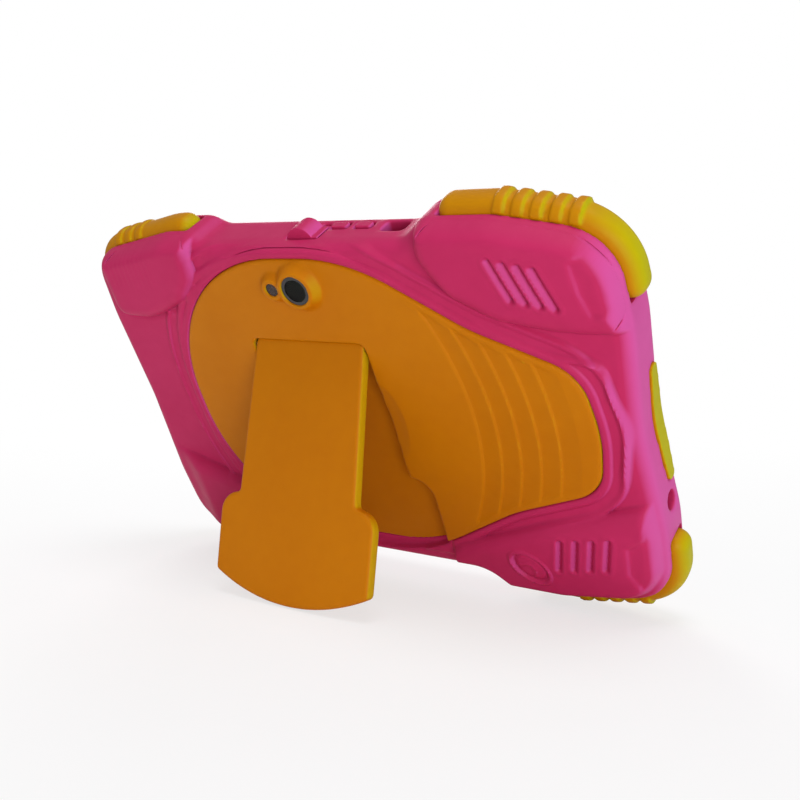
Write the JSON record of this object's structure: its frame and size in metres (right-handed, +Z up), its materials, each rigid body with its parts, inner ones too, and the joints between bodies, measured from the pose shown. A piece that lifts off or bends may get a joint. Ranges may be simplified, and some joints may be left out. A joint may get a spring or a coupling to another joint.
{
  "type": "children's tablet in a bumper case",
  "caption": "Seven-inch children's tablet in a soft lobed bumper case with ribbed corner bumpers, a pear-shaped back plate, a camera bezel and a fold-out stand.",
  "frame": {"origin": "on the floor under the middle of the outer box, with the stand open", "axes": "+X along the long side, to the right as seen from the back; the back and the stand face -Y, the screen faces +Y; +Z up"},
  "size_m": [0.2062, 0.0885, 0.1338],
  "materials": {
    "soft_pink": "soft matt moulded silicone",
    "soft_yellow": "soft matt moulded silicone",
    "plate_yellow": "fine matt moulded plastic",
    "pin_steel": "drawn steel",
    "black_gloss": "glossy black",
    "cover_black": "fine matt moulded plastic",
    "lens_glass": "coated glass",
    "screen_glass": "glass with a black border",
    "light_pipe": "clear warm plastic",
    "module_black": "dull black",
    "panel_silver": "dull sheet",
    "board_green": "solder mask",
    "shield_tin": "tinned sheet",
    "cell_foil": "pouch foil",
    "lead_red": "insulated wire",
    "film_amber": "thin film"
  },
  "bodies": {
    "case": {"bumper_case": "soft_pink", "corner_bumper_tr": "soft_yellow", "corner_bumper_tl": "soft_yellow", "corner_bumper_br": "soft_yellow", "corner_bumper_bl": "soft_yellow", "side_strip_right": "soft_yellow", "side_strip_left": "soft_yellow", "back_plate": "plate_yellow", "hinge_pin": "pin_steel", "board_screws": "pin_steel", "lens_ring": "black_gloss", "tablet_cover": "cover_black", "screen_frame": "cover_black", "lens_window": "lens_glass", "touch_glass": "screen_glass", "flash_lens": "light_pipe", "rear_camera": "module_black", "front_camera": "module_black", "speakers": "module_black", "headphone_jack": "module_black", "key_switches": "module_black", "microphone": "module_black", "display_panel": "panel_silver", "backlight": "panel_silver", "flash_led": "panel_silver", "main_board": "board_green", "shield_cans": "shield_tin", "usb_port": "shield_tin", "card_slot": "shield_tin", "battery": "cell_foil", "battery_leads": "lead_red", "display_ribbon": "film_amber", "camera_ribbon": "film_amber", "antenna": "film_amber"},
    "stand": {"kickstand": "plate_yellow"},
    "power_button": {"power_cover": "soft_pink", "power_key": "black_gloss"},
    "volume_up": {"volume_up_cover": "soft_pink", "volume_up_key": "black_gloss"},
    "volume_down": {"volume_down_cover": "soft_pink", "volume_down_key": "black_gloss"}
  },
  "joints": [
    {"name": "stand_hinge", "type": "hinge", "parent": "case", "child": "stand", "pos_m": [-0.0096, -0.01991, 0.08548], "axis": [1, 0, 0], "range_deg": [0, 37.2]},
    {"name": "power_press", "type": "slide", "parent": "case", "child": "power_button", "axis": [0, 0.5015, -0.8652], "range_m": [0, 0.0004], "stiffness_N_per_m": 2500},
    {"name": "volume_up_press", "type": "slide", "parent": "case", "child": "volume_up", "axis": [0, 0.5015, -0.8652], "range_m": [0, 0.0004], "stiffness_N_per_m": 2500},
    {"name": "volume_down_press", "type": "slide", "parent": "case", "child": "volume_down", "axis": [0, 0.5015, -0.8652], "range_m": [0, 0.0004], "stiffness_N_per_m": 2500}
  ]
}
